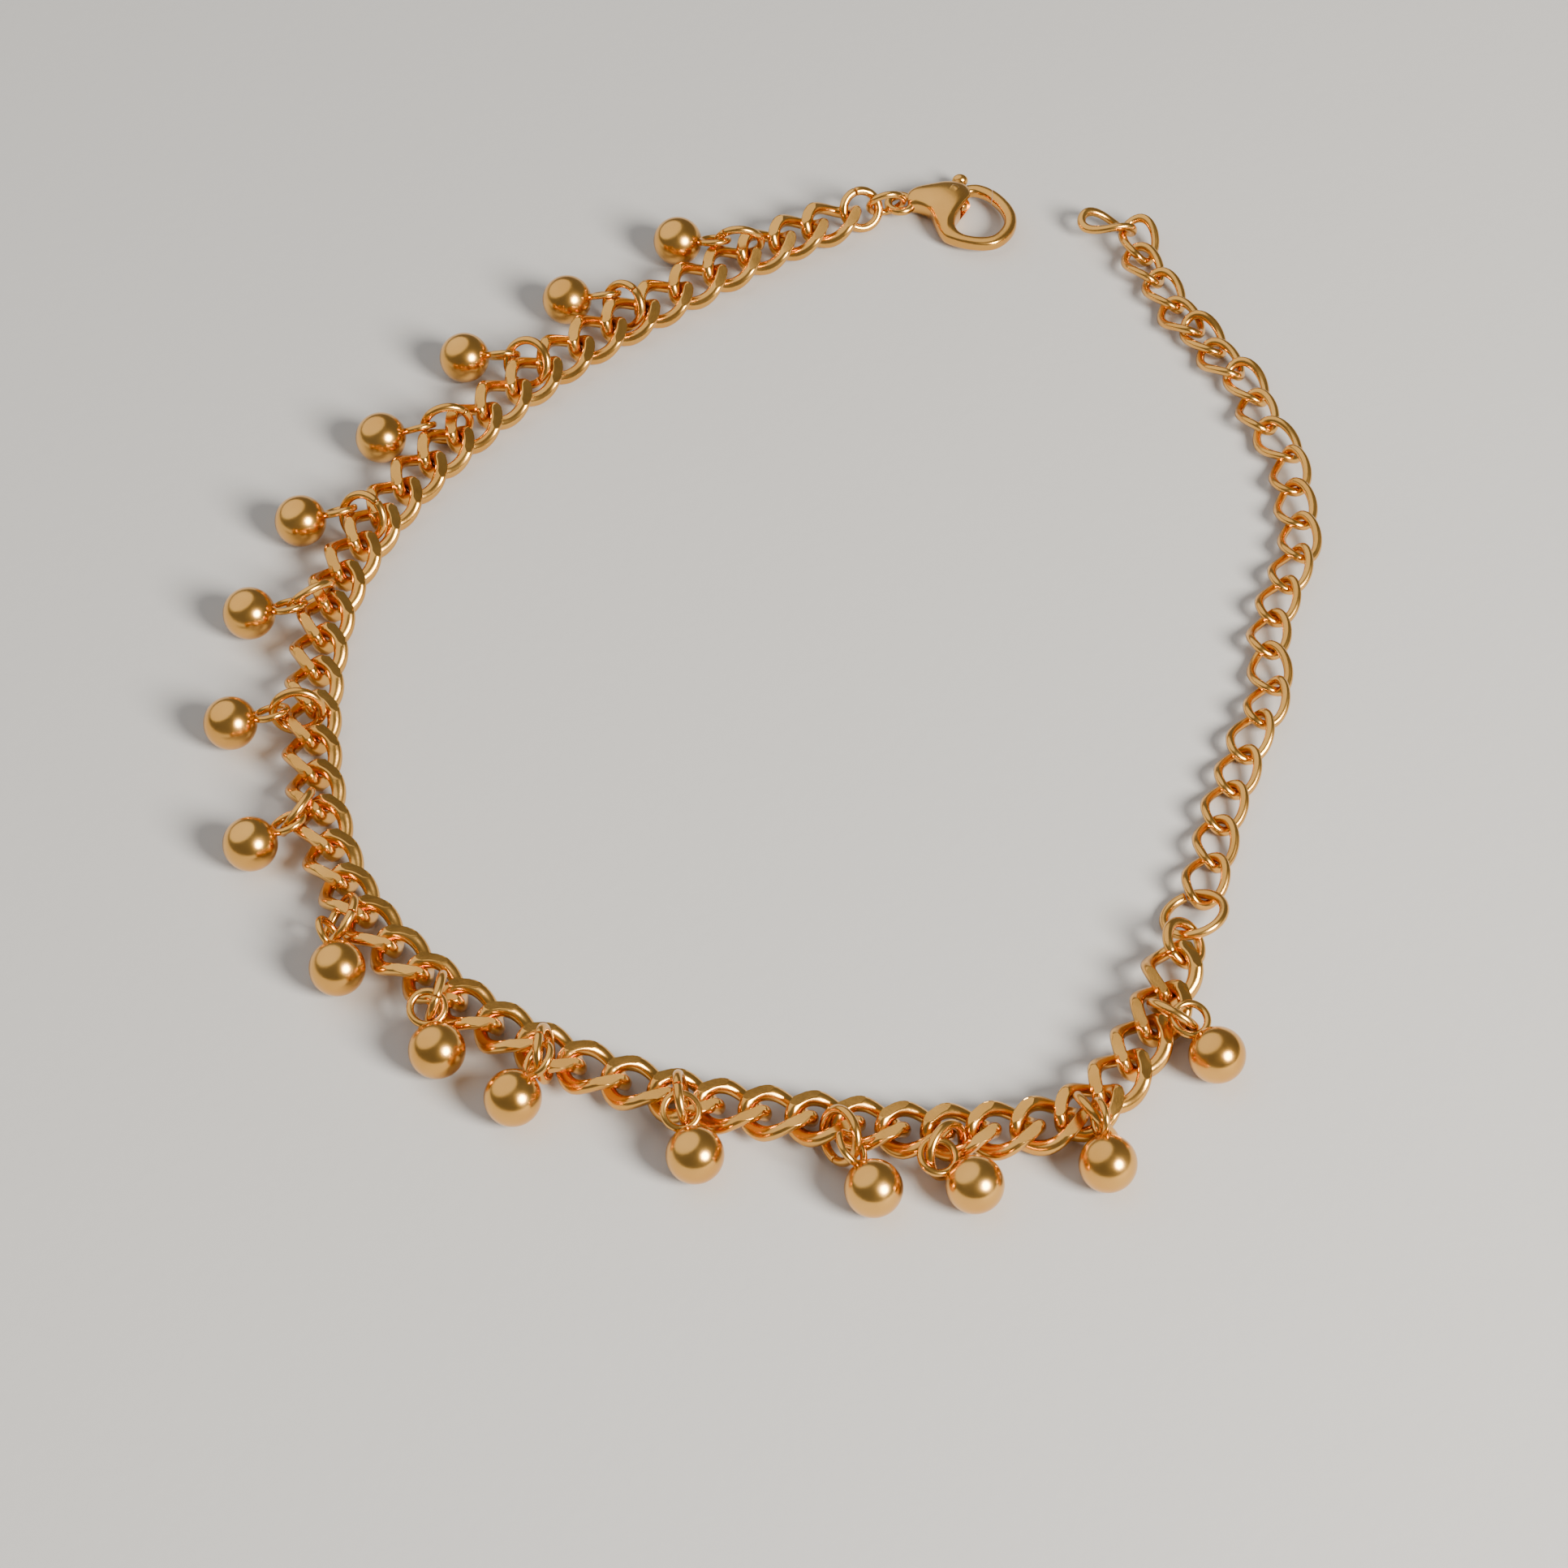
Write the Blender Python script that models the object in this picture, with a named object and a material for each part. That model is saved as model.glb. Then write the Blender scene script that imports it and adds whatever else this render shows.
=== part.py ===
"""An anklet lying open on the floor: curb chain, ball charms, extender and clasp.

Lengths are in millimetres and are turned into metres by MM. The floor is z = 0, +X points right
and +Y away from the viewer. Every sub-part rests where it lies, so nothing is moved afterwards.
"""

import math

import bmesh
import bpy
import numpy as np
from mathutils import Euler, Vector

MM = 0.001

# Middle of the whole object in the tables' own X and Y, which becomes the frame's origin
MIDDLE_X = -0.71
MIDDLE_Y = 13.72

# Curb link: outside length and width, wire, and how far its bars are twisted up and down
CURB_LENGTH = 5.6
CURB_WIDTH = 4.15
CURB_WIRE = 1.0
CURB_TWIST = 0.75
CURB_LIFT = 0.2

# Extender link
OPEN_LENGTH = 5.05
OPEN_WIDTH = 3.35
OPEN_WIRE = 0.65
OPEN_TWIST = 0.45

# Round rings: radius of the wire's centre line, and the wire's diameter
BIG_RING = (2.2, 0.7)
CONNECTOR_RING = (1.6, 0.65)
CLASP_RING = (1.55, 0.75)
SMALL_RING = (1.45, 0.6)
CHARM_RING = (1.8, 0.6)

# Charm: ball, and the loop soldered to it
BALL_RADIUS = 2.0
LOOP = (1.2, 0.5)
LOOP_DISTANCE = 3.1

# Stub that joins two links of one run where they come closest
STUB_RADIUS = 0.25

# Stations along the curb chain from the clasp end to the connector end, with the links between
# them at equal steps: link number, x, y, and the roll in degrees that raises the outer side
STATIONS = (
    (49, 3.9, 59.9, -6),
    (47, -1.5, 56.6, -8),
    (44, -9.9, 50.2, -14),
    (41, -17.7, 43.6, -18),
    (38, -24.7, 35.7, -18),
    (35, -30.45, 27.2, -16),
    (32, -34.15, 18.0, -16),
    (29, -35.05, 8.0, -14),
    (26, -34.1, -2.25, -14),
    (23, -30.9, -11.95, -12),
    (20, -24.35, -19.8, -10),
    (17, -16.1, -25.65, -10),
    (14, -6.7, -29.45, -10),
    (11, 2.8, -31.2, -10),
    (8, 12.0, -32.1, -6),
    (5, 20.75, -30.1, 4),
    (2, 26.1, -21.95, 10),
    (1, 27.15, -18.7, 10),
)

# The chain's links that each run holds, from the first number down to the last
RUNS = (
    (49, 45),
    (44, 40),
    (39, 35),
    (34, 30),
    (29, 25),
    (24, 20),
    (19, 15),
    (14, 10),
    (9, 5),
    (4, 1),
)

# Charms from the clasp end: ring x, y, z, compass of its tilt, tilt; loop compass, loop rise,
# loop twist; ball x, y. Angles are in degrees.
CHARMS = (
    (-3.7, 56.7, 2.15, 90, 75, -10, 10, 30, -8.8, 57),
    (-13.05, 49.04, 2.16, -130, 65, 0, 10, 40, -17.7, 49.9),
    (-20.6, 42.2, 2.3, -120, 55, 0, 5, 50, -25.7, 43.1),
    (-26.65, 35.3, 2.2, -80, 90, 15, 5, 45, -31.8, 34),
    (-32.55, 24.95, 2.35, -120, 60, 10, 10, 40, -37.4, 24.9),
    (-35.9, 16.7, 2.25, 125, 65, 5, 10, 30, -40.5, 15.2),
    (-35.95, 4.95, 2.5, -85, 80, 10, 10, 30, -40.9, 4.2),
    (-35.25, -4.4, 2.1, 155, 65, 30, 10, 30, -38.4, -7.3),
    (-31.4, -14.25, 2.05, 170, 55, 105, 0, -60, -31.3, -18.5),
    (-24.25, -21.5, 2.35, 170, 75, 105, 20, 5, -23.9, -25.6),
    (-16.45, -26.45, 2.75, -5, 80, 50, 30, 35, -18.5, -29.6),
    (-6.84, -30.34, 2.72, 5, 80, 110, 25, 0, -6, -34.3),
    (3.8, -32.95, 2.3, -150, 65, 120, 20, -45, 6, -37),
    (11.05, -33.89, 2.06, -35, 70, 145, 15, 5, 12.8, -36.7),
    (21.15, -31.15, 2.1, 35, 65, 100, 25, 80, 21.8, -35),
    (26.95, -22.8, 2.1, 55, 65, 125, 15, 0, 29.8, -26),
)

# Extender links from its free end: x, y, z, heading, roll, lean
EXTENDER = (
    (26.95, 59.65, 1.4, -15, -25, -5),
    (29.5, 57.85, 1.3, -85, -10, -10),
    (29.75, 54.95, 1.05, -70, -10, 0),
    (31.25, 51.95, 0.95, -70, -5, 0),
    (32.4, 48.6, 1, -60, 0, 5),
    (34.1, 46.6, 1, -60, 0, -5),
    (35.25, 43.65, 1, -60, 0, 5),
    (37.15, 41.1, 1, -65, 0, -5),
    (37.7, 37.65, 1.1, -80, 5, 5),
    (39.05, 34.35, 1.1, -60, 10, 0),
    (39.7, 30.9, 1.25, -90, 25, 0),
    (39.8, 27.3, 1.2, -85, 20, 0),
    (39.85, 23.8, 1.15, -90, 15, 0),
    (38.95, 20.65, 1.1, -110, 15, 0),
    (37.7, 17.35, 1.05, -110, 10, 0),
    (36.7, 13.9, 1.05, -100, 10, 5),
    (36.45, 10.3, 1.05, -85, 15, 0),
    (36, 6.95, 1.15, -110, 15, 0),
    (34.55, 3.8, 1, -115, 10, -5),
    (33.35, 0.5, 0.85, -110, 5, 0),
    (32.1, -2.9, 0.85, -110, 0, 0),
    (31.2, -6.3, 0.85, -100, -5, 0),
    (30.2, -9.8, 0.95, -110, -5, 0),
)

# Extender links that each of its runs holds
OPEN_RUNS = ((1, 6), (7, 12), (13, 18), (19, 23))

# Round rings: x, y, z, heading, roll, lean
BIG_RING_AT = (29.17, -13.13, 1.2, -100, 20, 10)
CONNECTOR_RING_AT = (28.23, -15.98, 1.56, -105, 140, 0)
CLASP_RING_AT = (6.45, 61.3, 1.65, 20, 50, -5)
SMALL_RING_AT = (8.55, 62, 1.7, 15, 110, -5)

# Clasp, seen from above: outline of its body from the eye along the far side and back
BODY_OUTLINE = (
    (10.3, 63.8),
    (11.3, 64.25),
    (12.6, 64.6),
    (14.0, 64.75),
    (15.2, 64.5),
    (15.65, 63.4),
    (14.9, 62.1),
    (14.4, 60.8),
    (14.3, 59.6),
    (14.0, 58.6),
    (13.3, 58.6),
    (12.9, 59.6),
    (12.65, 60.8),
    (12.3, 61.6),
    (11.5, 62.05),
    (10.4, 62.1),
)
BODY_HEIGHT = 2.2
BODY_BEVEL = 0.3
EYE = (9.75, 62.65, 1.0, 0.7)
MID_HEIGHT = 1.1
HOOK_WIRE = 1.05
HOOK = (
    (13.6, 59.3),
    (14.2, 58.4),
    (15.2, 57.9),
    (16.4, 57.65),
    (17.5, 57.85),
    (18.3, 58.6),
    (18.8, 59.6),
    (18.9, 60.7),
    (18.6, 61.8),
    (18.1, 62.7),
    (17.5, 63.5),
    (16.9, 64.05),
)
PIVOT = (14.3, 63.5)
PIN_RADIUS = 0.3
PIN_HOLE_RADIUS = 0.45
SLOT_HEIGHT = 1.3
SLOT_RADIUS = 1.0
SLOT_REACH = 2.25
SLOT_FROM = -105
SLOT_TO = 110
LEVER_ROOT_RADIUS = 0.78
LEVER_HEIGHT = 0.9
LEVER = ((14.7, 63.8), (15.4, 64.15), (16.2, 64.2), (16.9, 63.95), (17.7, 63.4))
LEVER_TAB = ((14.5, 63.1), (15.2, 62.05))
LEVER_REACH = 3.15
HOOK_FROM = 3.24
KNOB_STEM = ((14.35, 63.9), (14.75, 65.3))
KNOB = (14.85, 65.75, 0.6)

GOLD = (0.83, 0.58, 0.25, 1.0)


def clear_scene():
    for obj in list(bpy.data.objects):
        bpy.data.objects.remove(obj, do_unlink=True)


def make_material(name, colour, roughness):
    material = bpy.data.materials.new(name)
    material.use_nodes = True
    shader = material.node_tree.nodes["Principled BSDF"]
    shader.inputs["Base Color"].default_value = colour
    shader.inputs["Metallic"].default_value = 1.0
    shader.inputs["Roughness"].default_value = roughness
    return material


def at(x, y, z):
    return Vector((x - MIDDLE_X, y - MIDDLE_Y, z)) * MM


def move_to(obj, collection):
    for other in list(obj.users_collection):
        other.objects.unlink(obj)
    collection.objects.link(obj)


def finish_object(obj, name, material, collection):
    obj.name = name
    obj.data.name = name
    obj.data.materials.clear()
    obj.data.materials.append(material)
    obj.data.shade_smooth()
    move_to(obj, collection)
    return obj


def unite(obj, tools, name):
    """Joins every object of the collection tools to obj."""
    modifier = obj.modifiers.new(name, "BOOLEAN")
    modifier.operation = "UNION"
    modifier.operand_type = "COLLECTION"
    modifier.collection = tools
    modifier.solver = "EXACT"


def cut(obj, tool, name):
    modifier = obj.modifiers.new(name, "BOOLEAN")
    modifier.operation = "DIFFERENCE"
    modifier.object = tool
    modifier.solver = "EXACT"


def keep(obj, tool, name):
    """Keeps only what lies inside the tool."""
    modifier = obj.modifiers.new(name, "BOOLEAN")
    modifier.operation = "INTERSECT"
    modifier.object = tool
    modifier.solver = "EXACT"


def tool_collection(name, parent):
    tools = bpy.data.collections.new(name)
    tools.hide_render = True
    parent.children.link(tools)
    return tools


def add_tool(obj, tools):
    move_to(obj, tools)
    obj.hide_render = True
    obj.display_type = "WIRE"
    return obj


# Wire rings and links


def wire_ring(radius, wire, segments, sides):
    bpy.ops.mesh.primitive_torus_add(
        major_radius=radius * MM,
        minor_radius=wire / 2 * MM,
        major_segments=segments,
        minor_segments=sides,
    )
    return bpy.context.object


def twisted_link(length, width, wire, twist, segments):
    """A round ring drawn out to an oval and twisted, in square wire with flat faces up and down."""
    ring = wire_ring(width, wire * 1.05, segments, 4)
    half_length = (length - wire) / 2
    half_width = (width - wire) / 2
    for vertex in ring.data.vertices:
        turn = math.atan2(vertex.co.y, vertex.co.x)
        out = math.hypot(vertex.co.x, vertex.co.y) / MM - width
        up = vertex.co.z / MM
        out, up = (out - up) * math.sqrt(0.5), (out + up) * math.sqrt(0.5)
        centre = Vector(
            (
                half_length * math.cos(turn),
                half_width * math.sin(turn),
                -twist * math.sin(2 * turn),
            )
        )
        along = Vector(
            (
                -half_length * math.sin(turn),
                half_width * math.cos(turn),
                -2 * twist * math.cos(2 * turn),
            )
        ).normalized()
        outward = Vector((half_width * math.cos(turn), half_length * math.sin(turn), 0)).normalized()
        upward = outward.cross(along)
        if upward.z < 0:
            upward.negate()
        vertex.co = (centre + outward * out + upward * up) * MM
    return ring


def centre_line(length, width, wire, twist, count=96):
    """Points of a link's centre line before it is placed, one row per point."""
    turn = np.linspace(0, 2 * np.pi, count, endpoint=False)
    return np.stack(
        (
            (length - wire) / 2 * np.cos(turn),
            (width - wire) / 2 * np.sin(turn),
            -twist * np.sin(2 * turn),
        ),
        axis=1,
    )


def turned(points, row):
    """Points after the placing that a row of x, y, z, heading, roll and lean gives."""
    x, y, z, heading, roll, lean = row
    turn = Euler((math.radians(roll), math.radians(-lean), math.radians(heading)), "XYZ").to_matrix()
    return points @ np.array(turn).T + np.array((x, y, z))


def put(obj, row):
    x, y, z, heading, roll, lean = row
    obj.location = at(x, y, z)
    obj.rotation_euler = (math.radians(roll), math.radians(-lean), math.radians(heading))
    return obj


def stub(first, second):
    """A three-sided stub along the shortest way between two centre lines."""
    gaps = np.linalg.norm(first[:, None] - second[None], axis=2)
    i, j = np.unravel_index(gaps.argmin(), gaps.shape)
    way = Vector(second[j] - first[i])
    middle = (first[i] + second[j]) / 2
    bpy.ops.mesh.primitive_cylinder_add(
        vertices=3, radius=STUB_RADIUS * MM, depth=way.length * 0.9 * MM, location=at(*middle)
    )
    bpy.context.object.rotation_euler = way.to_track_quat("Z", "Y").to_euler()
    return bpy.context.object


def build_run(name, rows, line, make_link, material, nodes, joined):
    """One solid of the links that rows place, neighbours joined by a stub."""
    tools = tool_collection(name + "_links", joined)
    first = finish_object(put(make_link(), rows[0]), name, material, nodes)
    lines = [turned(line, row) for row in rows]
    for row in rows[1:]:
        add_tool(put(make_link(), row), tools)
    for before, after in zip(lines, lines[1:]):
        add_tool(stub(before, after), tools)
    unite(first, tools, "links")
    return first


# Curb chain


def smooth_route(points, steps=60):
    """The stations' smooth curve: points at equal shares of each span."""
    ends = np.vstack((2 * points[0] - points[1], points, 2 * points[-1] - points[-2]))
    share = np.linspace(0, 1, steps, endpoint=False)[:, None]
    spans = []
    for i in range(1, len(ends) - 2):
        leave = (ends[i + 1] - ends[i - 1]) / 2
        arrive = (ends[i + 2] - ends[i]) / 2
        spans.append(
            (2 * share**3 - 3 * share**2 + 1) * ends[i]
            + (share**3 - 2 * share**2 + share) * leave
            + (3 * share**2 - 2 * share**3) * ends[i + 1]
            + (share**3 - share**2) * arrive
        )
    spans.append(ends[-2][None])
    return np.vstack(spans)


def curb_rows():
    """Link number to its row of x, y, z, heading, roll and lean."""
    steps = 60
    numbers = [station[0] for station in STATIONS]
    route = smooth_route(np.array([station[1:3] for station in STATIONS], float), steps)
    along = np.r_[0, np.cumsum(np.linalg.norm(np.diff(route, axis=0), axis=1))]
    rolls = {station[0]: station[3] for station in STATIONS}
    line = centre_line(CURB_LENGTH, CURB_WIDTH, CURB_WIRE, CURB_TWIST)
    rows = {}

    def point(distance):
        return np.array([np.interp(distance, along, route[:, axis]) for axis in (0, 1)])

    for i, (before, after) in enumerate(zip(numbers, numbers[1:])):
        start = along[i * steps]
        end = along[(i + 1) * steps]
        for link in range(before, after - 1, -1):
            share = (before - link) / (before - after)
            distance = start + (end - start) * share
            x, y = point(distance)
            ahead = point(distance + 0.8) - point(distance - 0.8)
            heading = math.degrees(math.atan2(ahead[1], ahead[0]))
            roll = rolls[before] + (rolls[after] - rolls[before]) * share
            lowest = turned(line, (0, 0, 0, 0, roll, 0))[:, 2].min()
            rows[link] = (x, y, CURB_WIRE / 2 - lowest + CURB_LIFT, heading, roll, 0)
    return rows


def build_chain(material, nodes, joined):
    rows = curb_rows()
    line = centre_line(CURB_LENGTH, CURB_WIDTH, CURB_WIRE, CURB_TWIST)

    def make_link():
        return twisted_link(CURB_LENGTH, CURB_WIDTH, CURB_WIRE, CURB_TWIST, 12)

    for number, (first, last) in enumerate(RUNS, 1):
        held = [rows[link] for link in range(first, last - 1, -1)]
        build_run(f"chain_run_{number:02d}", held, line, make_link, material, nodes, joined)


def build_extender(material, nodes, joined):
    line = centre_line(OPEN_LENGTH, OPEN_WIDTH, OPEN_WIRE, OPEN_TWIST)

    def make_link():
        return twisted_link(OPEN_LENGTH, OPEN_WIDTH, OPEN_WIRE, OPEN_TWIST, 12)

    for number, (first, last) in enumerate(OPEN_RUNS, 1):
        held = EXTENDER[first - 1 : last]
        build_run(f"extender_run_{number}", held, line, make_link, material, nodes, joined)


# Charms


def build_charms(material, nodes, joined):
    for number, row in enumerate(CHARMS, 1):
        x, y, z, compass, tilt, loop_compass, loop_rise, loop_twist, ball_x, ball_y = row
        ring = wire_ring(*CHARM_RING, 12, 4)
        ring.location = at(x, y, z)
        ring.rotation_euler = (0, math.radians(tilt), math.radians(compass))
        finish_object(ring, f"charm_ring_{number:02d}", material, nodes)

        bpy.ops.mesh.primitive_uv_sphere_add(
            segments=9, ring_count=6, radius=BALL_RADIUS * MM, location=at(ball_x, ball_y, BALL_RADIUS)
        )
        ball = finish_object(bpy.context.object, f"charm_{number:02d}", material, nodes)
        tools = tool_collection(f"charm_{number:02d}_loop", joined)
        loop = wire_ring(*LOOP, 8, 4)
        turn = Euler(
            (math.radians(-loop_twist), math.radians(-loop_rise), math.radians(loop_compass)), "XYZ"
        )
        loop.rotation_euler = turn
        toward = turn.to_matrix() @ Vector((LOOP_DISTANCE, 0, 0))
        loop.location = at(ball_x + toward.x, ball_y + toward.y, BALL_RADIUS + toward.z)
        add_tool(loop, tools)
        unite(ball, tools, "loop")


# Clasp


def plate(outline, height, middle, bevel=0.0):
    """A flat plate of the outline's shape, its edges bevelled inward."""
    curve = bpy.data.curves.new("plate", "CURVE")
    curve.dimensions = "2D"
    curve.fill_mode = "BOTH"
    curve.extrude = (height / 2 - bevel) * MM
    curve.bevel_depth = bevel * MM
    curve.bevel_resolution = 0
    curve.offset = -bevel * MM
    spline = curve.splines.new("POLY")
    spline.points.add(len(outline) - 1)
    for point, (x, y) in zip(spline.points, outline):
        point.co = (*at(x, y, 0).xy, 0, 1)
    spline.use_cyclic_u = True
    return solid_of_curve(curve, middle)


def rod(points, wire, height=MID_HEIGHT, sides_step=1):
    """A closed round rod through the points, all at one height."""
    curve = bpy.data.curves.new("rod", "CURVE")
    curve.dimensions = "3D"
    curve.bevel_depth = wire / 2 * MM
    curve.bevel_resolution = sides_step
    curve.use_fill_caps = True
    spline = curve.splines.new("POLY")
    spline.points.add(len(points) - 1)
    for point, (x, y) in zip(spline.points, points):
        point.co = (*at(x, y, 0).xy, 0, 1)
    return solid_of_curve(curve, height)


def solid_of_curve(curve, height):
    """The curve's closed mesh as an object at that height."""
    guide = bpy.data.objects.new("guide", curve)
    bpy.context.scene.collection.objects.link(guide)
    guide.location.z = height * MM
    bpy.context.view_layer.update()
    graph = bpy.context.evaluated_depsgraph_get()
    mesh = bpy.data.meshes.new_from_object(guide.evaluated_get(graph))
    work = bmesh.new()
    work.from_mesh(mesh)
    bmesh.ops.remove_doubles(work, verts=work.verts, dist=1e-6)
    bmesh.ops.recalc_face_normals(work, faces=work.faces)
    work.to_mesh(mesh)
    work.free()
    solid = bpy.data.objects.new("solid", mesh)
    solid.matrix_world = guide.matrix_world.copy()
    bpy.context.scene.collection.objects.link(solid)
    bpy.data.objects.remove(guide, do_unlink=True)
    return solid


def pillar(x, y, radius, height, sides):
    bpy.ops.mesh.primitive_cylinder_add(
        vertices=sides, radius=radius * MM, depth=height * MM, location=at(x, y, MID_HEIGHT)
    )
    return bpy.context.object


def slot_outline():
    """The lever's slot from above: a small circle about the pin, open wide toward the claw."""
    points = []
    for degrees in range(SLOT_FROM, SLOT_FROM + 360, 15):
        radius = SLOT_REACH if degrees <= SLOT_TO else SLOT_RADIUS
        angle = math.radians(degrees)
        points.append((PIVOT[0] + radius * math.cos(angle), PIVOT[1] + radius * math.sin(angle)))
    return points


def build_clasp(material, nodes, joined):
    body = plate(BODY_OUTLINE, BODY_HEIGHT, MID_HEIGHT, BODY_BEVEL)
    finish_object(body, "clasp_body", material, nodes)
    shapes = tool_collection("clasp_body_shapes", joined)
    hook = add_tool(rod(HOOK, HOOK_WIRE), shapes)
    ends = tool_collection("clasp_ends", joined)
    cut(hook, add_tool(pillar(*PIVOT, HOOK_FROM, 4.0, 64), ends), "round end")
    eye_x, eye_y, eye_radius, eye_wire = EYE
    eye = wire_ring(eye_radius, eye_wire, 12, 5)
    eye.location = at(eye_x, eye_y, MID_HEIGHT)
    add_tool(eye, shapes)
    unite(body, shapes, "hook and eye")
    slots = tool_collection("clasp_body_slot", joined)
    slot = add_tool(plate(slot_outline(), SLOT_HEIGHT, MID_HEIGHT), slots)
    cut(body, slot, "slot")
    pins = tool_collection("clasp_body_pin", joined)
    add_tool(pillar(*PIVOT, PIN_RADIUS, BODY_HEIGHT - 0.4, 10), pins)
    unite(body, pins, "pin")

    lever = pillar(*PIVOT, LEVER_ROOT_RADIUS, LEVER_HEIGHT, 16)
    finish_object(lever, "clasp_lever", material, nodes)
    shapes = tool_collection("clasp_lever_shapes", joined)
    add_tool(rod(LEVER, LEVER_HEIGHT), shapes)
    add_tool(rod(LEVER_TAB, LEVER_HEIGHT * 0.8), shapes)
    add_tool(rod(KNOB_STEM, LEVER_HEIGHT * 0.8), shapes)
    knob_x, knob_y, knob_radius = KNOB
    bpy.ops.mesh.primitive_uv_sphere_add(
        segments=8, ring_count=5, radius=knob_radius * MM, location=at(knob_x, knob_y, MID_HEIGHT)
    )
    add_tool(bpy.context.object, shapes)
    unite(lever, shapes, "arm, tab and knob")
    keep(lever, add_tool(pillar(*PIVOT, LEVER_REACH, 4.0, 64), ends), "round end")
    holes = tool_collection("clasp_lever_hole", joined)
    hole = add_tool(pillar(*PIVOT, PIN_HOLE_RADIUS, LEVER_HEIGHT + 1.0, 16), holes)
    cut(lever, hole, "pin hole")


def build_round_rings(material, nodes):
    for name, size, row in (
        ("big_ring", BIG_RING, BIG_RING_AT),
        ("connector_ring", CONNECTOR_RING, CONNECTOR_RING_AT),
        ("clasp_ring", CLASP_RING, CLASP_RING_AT),
        ("clasp_small_ring", SMALL_RING, SMALL_RING_AT),
    ):
        ring = wire_ring(*size, 12, 5)
        finish_object(put(ring, row), name, material, nodes)


def main():
    clear_scene()
    nodes = bpy.data.collections.new("anklet")
    bpy.context.scene.collection.children.link(nodes)
    joined = bpy.data.collections.new("joined_shapes")
    joined.hide_render = True
    bpy.context.scene.collection.children.link(joined)
    chain = make_material("gold_chain", GOLD, 0.22)
    charms = make_material("gold_charms", GOLD, 0.15)
    clasp = make_material("gold_clasp", GOLD, 0.2)
    build_chain(chain, nodes, joined)
    build_extender(chain, nodes, joined)
    build_round_rings(chain, nodes)
    build_charms(charms, nodes, joined)
    build_clasp(clasp, nodes, joined)
    bpy.context.view_layer.update()


main()
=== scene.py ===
"""Looks of an anklet lying open: curb chain, ball charms on jump rings, extender and clasp.

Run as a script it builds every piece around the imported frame. Registered, it shows the same
steps as buttons in the sidebar. Lengths in the tables are in millimetres, in axes that run as
the frame's do, and angles are in degrees. The settings are in metres, as the frame is.
"""

import math

import bpy
import numpy as np
from bpy.props import FloatProperty, FloatVectorProperty, IntProperty, PointerProperty
from mathutils import Euler, Matrix, Vector


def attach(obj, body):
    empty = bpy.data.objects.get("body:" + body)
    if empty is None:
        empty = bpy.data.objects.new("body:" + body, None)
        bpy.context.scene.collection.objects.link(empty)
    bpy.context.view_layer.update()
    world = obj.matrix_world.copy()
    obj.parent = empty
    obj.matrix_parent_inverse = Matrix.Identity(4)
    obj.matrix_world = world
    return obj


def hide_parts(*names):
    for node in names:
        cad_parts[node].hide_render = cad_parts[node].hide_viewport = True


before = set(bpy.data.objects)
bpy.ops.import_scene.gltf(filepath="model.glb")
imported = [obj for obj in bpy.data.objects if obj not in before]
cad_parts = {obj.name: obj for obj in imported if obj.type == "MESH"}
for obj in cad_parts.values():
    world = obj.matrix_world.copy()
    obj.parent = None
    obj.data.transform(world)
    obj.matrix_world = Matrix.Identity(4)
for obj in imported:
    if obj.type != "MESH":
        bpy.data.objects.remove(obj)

bl_info = {
    "name": "Anklet looks",
    "version": (1, 0, 0),
    "blender": (4, 5, 0),
    "location": "View3D > Sidebar > Anklet",
    "description": "Models the anklet's links, rings, charms and clasp around its frame",
    "category": "Object",
}

MM = 0.001

# Where the frame's origin lies in the tables' own X and Y
MIDDLE_X = -0.71
MIDDLE_Y = 13.72

# Stations along the curb chain: link number, x, y, roll in degrees that raises the outer side
STATIONS = (
    (49, 3.9, 59.9, -6),
    (47, -1.5, 56.6, -8),
    (44, -9.9, 50.2, -14),
    (41, -17.7, 43.6, -18),
    (38, -24.7, 35.7, -18),
    (35, -30.45, 27.2, -16),
    (32, -34.15, 18.0, -16),
    (29, -35.05, 8.0, -14),
    (26, -34.1, -2.25, -14),
    (23, -30.9, -11.95, -12),
    (20, -24.35, -19.8, -10),
    (17, -16.1, -25.65, -10),
    (14, -6.7, -29.45, -10),
    (11, 2.8, -31.2, -10),
    (8, 12.0, -32.1, -6),
    (5, 20.75, -30.1, 4),
    (2, 26.1, -21.95, 10),
    (1, 27.15, -18.7, 10),
)

# First and last link of each run, in the order of the frame's nodes
RUNS = (
    (49, 45),
    (44, 40),
    (39, 35),
    (34, 30),
    (29, 25),
    (24, 20),
    (19, 15),
    (14, 10),
    (9, 5),
    (4, 1),
)

# Steps of the chain's curve from each station to the next, and how far before and after a link
# its heading is read off that curve
ROUTE_STEPS = 60
HEADING_REACH = 0.8

# The frame's own chain link, which sets how high the visible one lies: half the width and the
# rise of its middle line, points along that line, radius of its wire, and its gap to the floor
FRAME_LINK_HALF_WIDTH = 1.575
FRAME_LINK_RISE = 0.75
FRAME_LINK_POINTS = 96
FRAME_LINK_WIRE = 0.5
CHAIN_GAP = 0.2

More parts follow.
